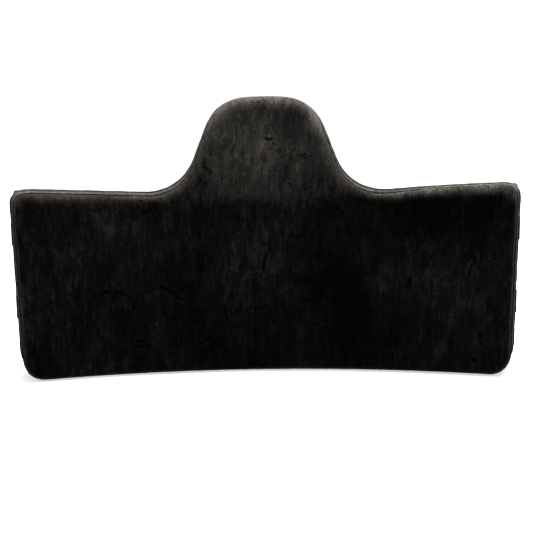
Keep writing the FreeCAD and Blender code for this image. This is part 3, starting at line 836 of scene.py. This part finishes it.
tape, tape_tree, tape_shader = material("zip_tape", roughness=0.85, sheen=0.2, specular=0.2)
lines_up = {"Vector": own_place(tape_tree), "Scale": 420.0, "Distortion": 0.3}
lines_along = {"Vector": own_place(tape_tree), "Scale": 300.0}
woven = times(tape_tree, node(tape_tree, "TexWave", lines_up, bands_direction="Z").outputs["Fac"],
              node(tape_tree, "TexWave", lines_along, bands_direction="X").outputs["Fac"])
coloured(tape_tree, tape_shader, woven, (0.004, 0.004, 0.004), (0.022, 0.022, 0.022))
bumped(tape_tree, tape_shader, woven, 0.0002)
finish_cad(tape, "zip_tape", "zip_tape_upper", "zip_tape_lower")

nylon, nylon_tree, nylon_shader = material("zip_nylon", roughness=0.35, specular=0.25)
nylon_patch = lumps(nylon_tree, own_place(nylon_tree), 0.004, Detail=3.0)
coloured(nylon_tree, nylon_shader, nylon_patch, (0.006, 0.006, 0.006), (0.02, 0.02, 0.02))
nylon_gloss = ranged(nylon_tree, nylon_patch, 0.3, 0.7, 0.28, 0.45)
nylon_tree.links.new(nylon_gloss, nylon_shader.inputs["Roughness"])

teeth_end = ZIP_SLOT_END - STOP_LENGTH
for name, up in (("upper", 1), ("lower", -1)):
    bpy.ops.object.select_all(action="DESELECT")
    bpy.ops.mesh.primitive_cylinder_add(vertices=8, radius=1, depth=1)
    coil = bpy.context.object
    points = read(coil)
    points *= (TOOTH_PITCH * 0.42, TOOTH_DEPTH, TOOTH_OUTER - TOOTH_INNER)
    points[:, 0] *= 1 + 0.18 * (points[:, 2] * up < 0)  # the heads, which hook into each other, are broader
    points += (-teeth_end + TOOTH_PITCH * (0.5 + 0.25 * up), PAD_THICKNESS - 0.0002 - TOOTH_DEPTH,
               ZIP_HEIGHT + up * (TOOTH_OUTER + TOOTH_INNER) / 2)
    write(coil, points)
    edit_all()
    bpy.ops.mesh.bevel(offset=0.00022, segments=1)
    edit_done()
    apply(coil, "ARRAY", count=int(2 * teeth_end / TOOTH_PITCH) - 1, use_relative_offset=False,
          use_constant_offset=True, constant_offset_displace=(TOOTH_PITCH, 0, 0))
    write(coil, bent_round(read(coil)))
    finished(coil, "zip_coil_teeth_" + name, nylon, "zip_coil", "root", "zip_coil_" + name)

enamel, enamel_tree, enamel_shader = material("black_enamel", roughness=0.42, specular=0.3)
enamel_place = own_place(enamel_tree)
rubbed = ranged(enamel_tree, lumps(enamel_tree, enamel_place, 0.0013, Detail=4.0), 0.66, 0.74)
coloured(enamel_tree, enamel_shader, rubbed, (0.008, 0.008, 0.008), (0.12, 0.115, 0.11))
enamel_tree.links.new(times(enamel_tree, rubbed, 0.9), enamel_shader.inputs["Metallic"])
bumped(enamel_tree, enamel_shader, lumps(enamel_tree, enamel_place, 0.0007), 0.00004)


def softened(name, cad_node, made, slot, body, edge):
    """A copy of a moulded or cast CAD piece with its edges rounded."""
    piece = copied(name, cad_node)
    edit_all()
    bpy.ops.mesh.dissolve_limited(angle_limit=math.radians(1.5))
    edit_done()
    apply(piece, "BEVEL", width=edge, segments=2, limit_method="ANGLE", angle_limit=math.radians(35))
    return finished(piece, name, made, slot, body, cad_node)


softened("zip_slider_cast", "zip_slider", enamel, "zip_metal", "zip_slider", 0.0002)
softened("zip_pull_cast", "zip_pull", enamel, "zip_metal", "zip_pull", 0.0002)
softened("zip_top_stops_cast", "zip_top_stops", enamel, "zip_metal", "root", 0.0002)
softened("zip_bottom_stop_cast", "zip_bottom_stop", enamel, "zip_metal", "root", 0.0002)

# ---- Straps: webbing and its stitching ----
# 25 mm ribbed elastic. Each length comes out of the back seam, goes round the pad's edge to its
# buckle, turns round the bar and lies back on itself. The long tail ends in a sewn hem.

WEB = 0.0013
WEB_WIDTH = 0.025
STRAP_GAP = 0.0014
STRAP_RADIUS = BACK_RADIUS + STRAP_GAP
EDGE_ROUND = 0.010
BAR_Y = 0.0032
LOOP = 0.00255  # from a bar's middle to the middle of the webbing round it
LAYER_RUN = 0.012
PLUG_PLACE = math.radians(2.96)
WEB_ENDS = {  # where the buckle is round the pad, then its bar, the last bar crossed, the tail and the hem
    "socket": (0.0, 0.022, 0.023, 0.026, 0.0),
    "plug": (PLUG_PLACE, 0.008, 0.018, 0.062, 0.009),
}
BOW = 0.0011  # how far the slack webbing stands off the pad
BOW_END = math.radians(15.2)
STRAP_LEVELS = (("upper", 0.158), ("lower", 0.076))
PAD_HALF = 0.2748  # from the pad's middle to its end, at its foot
PAD_WIDENS = 0.0037 / 0.209  # the cutting template widens a little upwards

elastic, elastic_tree, elastic_shader = material("elastic_webbing", sheen=0.06, specular=0.08)
web_sheet = node(elastic_tree, "UVMap", uv_map="UVMap").outputs["UV"]
sides = node(elastic_tree, "SeparateXYZ", {"Vector": web_sheet}).outputs


def rounded_wave(tree, value, pitch):
    """0 in the valleys and 1 on the ridges of threads that lie side by side."""
    wave = node(tree, "Math", {0: times(tree, value, math.pi / pitch)}, operation="SINE").outputs[0]
    return node(tree, "Math", {0: wave}, operation="ABSOLUTE").outputs[0]


ribs = rounded_wave(elastic_tree, sides["Y"], 0.0021)
picks = rounded_wave(elastic_tree, sides["X"], 0.0012)
fluff = lumps(elastic_tree, own_place(elastic_tree), 0.0006, Detail=3.0)
web_height = plus(elastic_tree, picks, 0.35, plus(elastic_tree, fluff, 0.25, ribs))
web_share = times(elastic_tree, web_height, 0.7)
coloured(elastic_tree, elastic_shader, web_share, (0.0012, 0.0012, 0.0012), (0.02, 0.0196, 0.019))
bumped(elastic_tree, elastic_shader, web_height, 0.00035)


def beside(turn, x, y):
    """The plan point x along the strap and y out from its inner face, at a turn round the pad."""
    out = STRAP_RADIUS + y
    return (out * math.sin(turn) + x * math.cos(turn), axis_y + out * math.cos(turn) - x * math.sin(turn))


def round_bar(turn, x, y, radius, start, end):
    """Points on an arc about an upright line, in plan, from one angle to another in degrees."""
    angles = np.radians(np.linspace(start, end, 13))
    return [beside(turn, x + radius * math.cos(angle), y + radius * math.sin(angle)) for angle in angles]


def web_path(kind, height):
    """The line that the webbing follows in plan, from the back seam to the end of its tail."""
    place, bar_x, over_x, tail, hem = WEB_ENDS[kind]
    end_of_pad = math.atan((PAD_HALF + PAD_WIDENS * height) / FACE_RADIUS)
    turn = end_of_pad - EDGE_ROUND / (BACK_RADIUS - EDGE_ROUND)
    inset = EDGE_ROUND + STRAP_GAP
    hug = EDGE_ROUND + 0.0002 + WEB / 2  # close round the pad's edge
    path = [beside(turn, x, y - inset) for x, y in ((0.0085, 0.0018), (0.0097, 0.0021), (0.0103, 0.0029))]
    path += round_bar(turn, 0, -inset, hug, 22, 90)
    bar_turn = place + bar_x / STRAP_RADIUS
    layer_turn = place + (over_x + LAYER_RUN + 0.0005) / STRAP_RADIUS
    end_turn = layer_turn + tail / STRAP_RADIUS
    slack = (end_turn + 0.008, BOW_END)
    for angle in np.linspace(turn, bar_turn, 260)[1:]:
        share = min(1, max(0, (angle - slack[0]) / (slack[1] - slack[0])))
        close = STRAP_GAP - 0.0002
        height_off = WEB / 2 - close * max(0, 1 - (turn - angle) / 0.012)
        path.append(beside(angle, 0, height_off + BOW * math.sin(math.pi * share) ** 2))
    path += round_bar(place, bar_x, BAR_Y, LOOP, -90, -270)[1:]
    path += [beside(place, over_x, BAR_Y + LOOP), beside(place, over_x + LAYER_RUN, WEB * 1.5)]
    path += [beside(angle, 0, WEB * 1.5) for angle in np.linspace(layer_turn, end_turn, 40)]
    if hem:
        path += round_bar(end_turn, 0, WEB * 2, WEB / 2, -90, 90)[1:]
        hem_turns = end_turn - np.linspace(0.001, hem, 9) / STRAP_RADIUS
        path += [beside(angle, 0, WEB * 2.5) for angle in hem_turns]
    path = np.array(path)
    lengths = measured(path)
    even = np.arange(0, lengths[-1], 0.0004)
    path = np.stack([np.interp(even, lengths, path[:, side]) for side in (0, 1)], 1)
    path[1:-1] = (path[:-2] + path[1:-1] * 2 + path[2:]) / 4
    return path


def measured(path):
    """The length along a path at each of its points."""
    return np.concatenate([[0], np.cumsum(np.linalg.norm(np.diff(path, axis=0), axis=1))])


def follow(piece, path, height, mirror):
    """Puts a piece drawn as length along, height off and place across a strap onto its path."""
    points, lengths = read(piece), measured(path)
    run = np.gradient(path, axis=0)
    run /= np.linalg.norm(run, axis=1, keepdims=True)
    x, y, run_x, run_y = [np.interp(points[:, 0], lengths, values) for values in (*path.T, *run.T)]
    points = np.stack([x + run_y * points[:, 1], y - run_x * points[:, 1], points[:, 2] + height], 1)
    write(piece, points * (mirror, 1, 1))
    only(piece)
    edit_all()
    bpy.ops.mesh.normals_make_consistent(inside=False)
    edit_done()


BOX_STITCH, TACK_STITCH = 0.0026, 0.0018
ROW_HALF = 0.011  # half of the length of a row across the webbing
TACK_START = 0.0255  # from the webbing's hidden end


def box_stitch(start, length, width=0.019):
    """A sewn box with a cross in it, from a length along the strap."""
    end, low, high = start + length, -width / 2, width / 2
    corners = [(start, low), (end, low), (end, high), (start, high)]
    lines = list(zip(corners, corners[1:] + corners[:1]))
    lines += [(corners[0], corners[2]), (corners[3], corners[1])]
    return [stitch_row(first, last, BOX_STITCH) for first, last in lines]


for level, height in STRAP_LEVELS:
    for kind, mirror in (("socket", -1), ("plug", 1)):
        name, body = f"{level}_strap_{kind}", f"{level}_{kind}_strap"
        path = web_path(kind, height)
        total = measured(path)[-1]
        bpy.ops.object.select_all(action="DESELECT")
        bpy.ops.mesh.primitive_grid_add(x_subdivisions=int(total / 0.0007), y_subdivisions=8, size=1)
        web = bpy.context.object
        write(web, (read(web) + (0.5, 0, 0))[:, [0, 2, 1]] * (total, 0, WEB_WIDTH))
        for corner in web.data.uv_layers[0].data:
            corner.uv = (corner.uv[0] * total, corner.uv[1] * WEB_WIDTH)
        apply(web, "SOLIDIFY", thickness=WEB, offset=0, use_rim=True)
        follow(web, path, height, mirror)
        finished(web, name + "_webbing", elastic, "webbing", "", f"{level}_strap_tab_{kind}",
                 f"{level}_strap_web_{kind}", smooth=50)
        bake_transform(web)

        place, bar_x, over_x, tail, hem = WEB_ENDS[kind]
        if hem:
            places = [total - 2 * hem + away for away in (0.001, 0.003)]
            rows = [stitch_row((x, -ROW_HALF), (x, ROW_HALF), BOX_STITCH) for x in places]
        else:
            rows = box_stitch(total - tail + 0.003, tail - 0.006)
        sewing = joined(rows)
        write(sewing, read(sewing) - (0, WEB / 2 + (WEB + 0.0001 if hem else 0.0001), 0))
        follow(sewing, path, height, mirror)
        finished(sewing, name + "_stitches", thread, "webbing", body)
        places = [(TACK_START + 0.0006 * row, 0.0012 * (-1) ** row) for row in range(4)]
        tack = joined([stitch_row((x, -ROW_HALF), (x + lean, ROW_HALF), TACK_STITCH) for x, lean in places])
        write(tack, read(tack) + (0, WEB / 2 + 0.0001, 0))
        follow(tack, path, height, mirror)
        finished(tack, name + "_bar_tack", thread, "webbing", "root")

# ---- Buckles: sockets, plugs, latch arms, and the keepers ----
# Side-release buckles for 25 mm webbing, moulded in black acetal with a fine spark-eroded surface
# that has a few pale scuffs. The keeper is the same plastic.

acetal, acetal_tree, acetal_shader = material("black_acetal", roughness=0.38, specular=0.3)
acetal_place = own_place(acetal_tree)
spark = lumps(acetal_tree, acetal_place, 0.00035, Detail=2.0)
flow = lumps(acetal_tree, acetal_place, 0.012, Detail=3.0)
scratches = lumps(acetal_tree, acetal_place, 0.0021, Detail=5.0, Distortion=1.5)
scuffs = ranged(acetal_tree, scratches, 0.62, 0.7)
acetal_base = mixed(acetal_tree, flow, (0.004, 0.004, 0.0042), (0.009, 0.009, 0.0093))
coloured(acetal_tree, acetal_shader, times(acetal_tree, scuffs, 0.3), acetal_base, (0.03, 0.03, 0.03))
acetal_tree.links.new(plus(acetal_tree, scuffs, 0.15, ranged(acetal_tree, spark, 0.3, 0.7, 0.35, 0.5)),
                      acetal_shader.inputs["Roughness"])
bumped(acetal_tree, acetal_shader, spark, 0.00006)

GRIP_WIDTH = 0.0011
GRIP_HEIGHT = 0.0006


def grips(name, body, turn, top, places, length, height):
    """Raised bars across a buckle's outer face, for finger and thumb."""
    bars = []
    for x in places:
        bpy.ops.object.select_all(action="DESELECT")
        bpy.ops.mesh.primitive_cube_add(size=1)
        bar = bpy.context.object
        write(bar, read(bar) * (GRIP_WIDTH, 2 * GRIP_HEIGHT, length))
        apply(bar, "BEVEL", width=GRIP_HEIGHT * 0.7, segments=3)
        points = [(*beside(turn, x + across, top + out), height + up) for across, out, up in read(bar)]
        write(bar, np.array(points))
        bars.append(bar)
    finished(joined(bars), name, acetal, "buckle_plastic", body)


SOCKET_GRIPS = (0.0035, 0.006, 0.0085, 0.011)  # places along the strap from the buckle's middle
PLUG_GRIPS = (-0.001, 0.001)
for level, height in STRAP_LEVELS:
    grips(f"{level}_socket_grips", f"{level}_socket_strap", 0, 0.0076, SOCKET_GRIPS, 0.018, height)
    grips(f"{level}_plug_grips", f"{level}_plug_strap", PLUG_PLACE, 0.0072, PLUG_GRIPS, 0.022, height)
    for piece, cad_name, body, edge in (
        ("buckle_socket", "buckle_socket", "socket_strap", 0.0004),
        ("buckle_plug", "buckle_plug", "plug_strap", 0.00035),
        ("latch_arm_top", "latch_arm_top", "latch_top", 0.00025),
        ("latch_arm_bottom", "latch_arm_bottom", "latch_bottom", 0.00025),
        ("keeper", "strap_keeper", "keeper", 0.0002),
    ):
        softened(f"{level}_{piece}_moulded", f"{level}_{cad_name}", acetal, "buckle_plastic",
                 f"{level}_{body}", edge)

# ---- Studio ----
# A pale floor under soft light. The camera is in front, as high as the dome, and looks a little down.

floor_material, _, floor_shader = material("studio_floor", roughness=0.7, specular=0.1)
floor_shader.inputs["Base Color"].default_value = (0.9, 0.9, 0.9, 1)
floor_shader.inputs["Emission Color"].default_value = (1, 1, 1, 1)
floor_shader.inputs["Emission Strength"].default_value = 0.55
bpy.ops.mesh.primitive_circle_add(vertices=96, radius=60, fill_type="NGON", location=(0, 0, 0))
floor = bpy.context.object
floor.name = "studio_floor"
floor.data.materials.append(floor_material)

SKY_LIGHT, SKY_SEEN = 0.55, 1.05  # as it lights the pad, and as it looks
world = bpy.data.worlds.new("studio_world")
bpy.context.scene.world = world
world.use_nodes = True
backdrop = world.node_tree.nodes["Background"]
backdrop.inputs["Color"].default_value = (1, 1, 1, 1)
seen = node(world.node_tree, "LightPath").outputs["Is Camera Ray"]
sky = ranged(world.node_tree, seen, 0.0, 1.0, SKY_LIGHT, SKY_SEEN)
world.node_tree.links.new(sky, backdrop.inputs["Strength"])
bpy.context.scene.view_settings.view_transform = "Standard"


def softbox(name, place, size, watts):
    """A square light that faces the middle of the pad."""
    bpy.ops.object.light_add(type="AREA", location=place)
    light = bpy.context.object
    light.name = name
    light.data.size = size
    light.data.energy = watts
    light.rotation_euler = (Vector((0, 0, 0.12)) - Vector(place)).to_track_quat("-Z", "Y").to_euler()


softbox("overhead_box", (0.35, 0.2, 1.9), 1.5, 95)
softbox("front_box", (-0.9, -1.9, 1.6), 1.2, 6)

CAMERA_AWAY = 1.115  # from the middle of the face
CAMERA_HEIGHT = 0.306
CAMERA_DOWN = math.radians(9.48)
CAMERA_ROLL = math.radians(-0.7)
bpy.ops.object.camera_add()
camera = bpy.context.object
camera.data.lens = 69.3
place = Matrix.Translation((0.0005, axis_y + FACE_RADIUS - CAMERA_AWAY, CAMERA_HEIGHT))
look = Matrix.Rotation(math.pi / 2 - CAMERA_DOWN, 4, "X") @ Matrix.Rotation(CAMERA_ROLL, 4, "Z")
camera.matrix_world = place @ look
bpy.context.scene.camera = camera
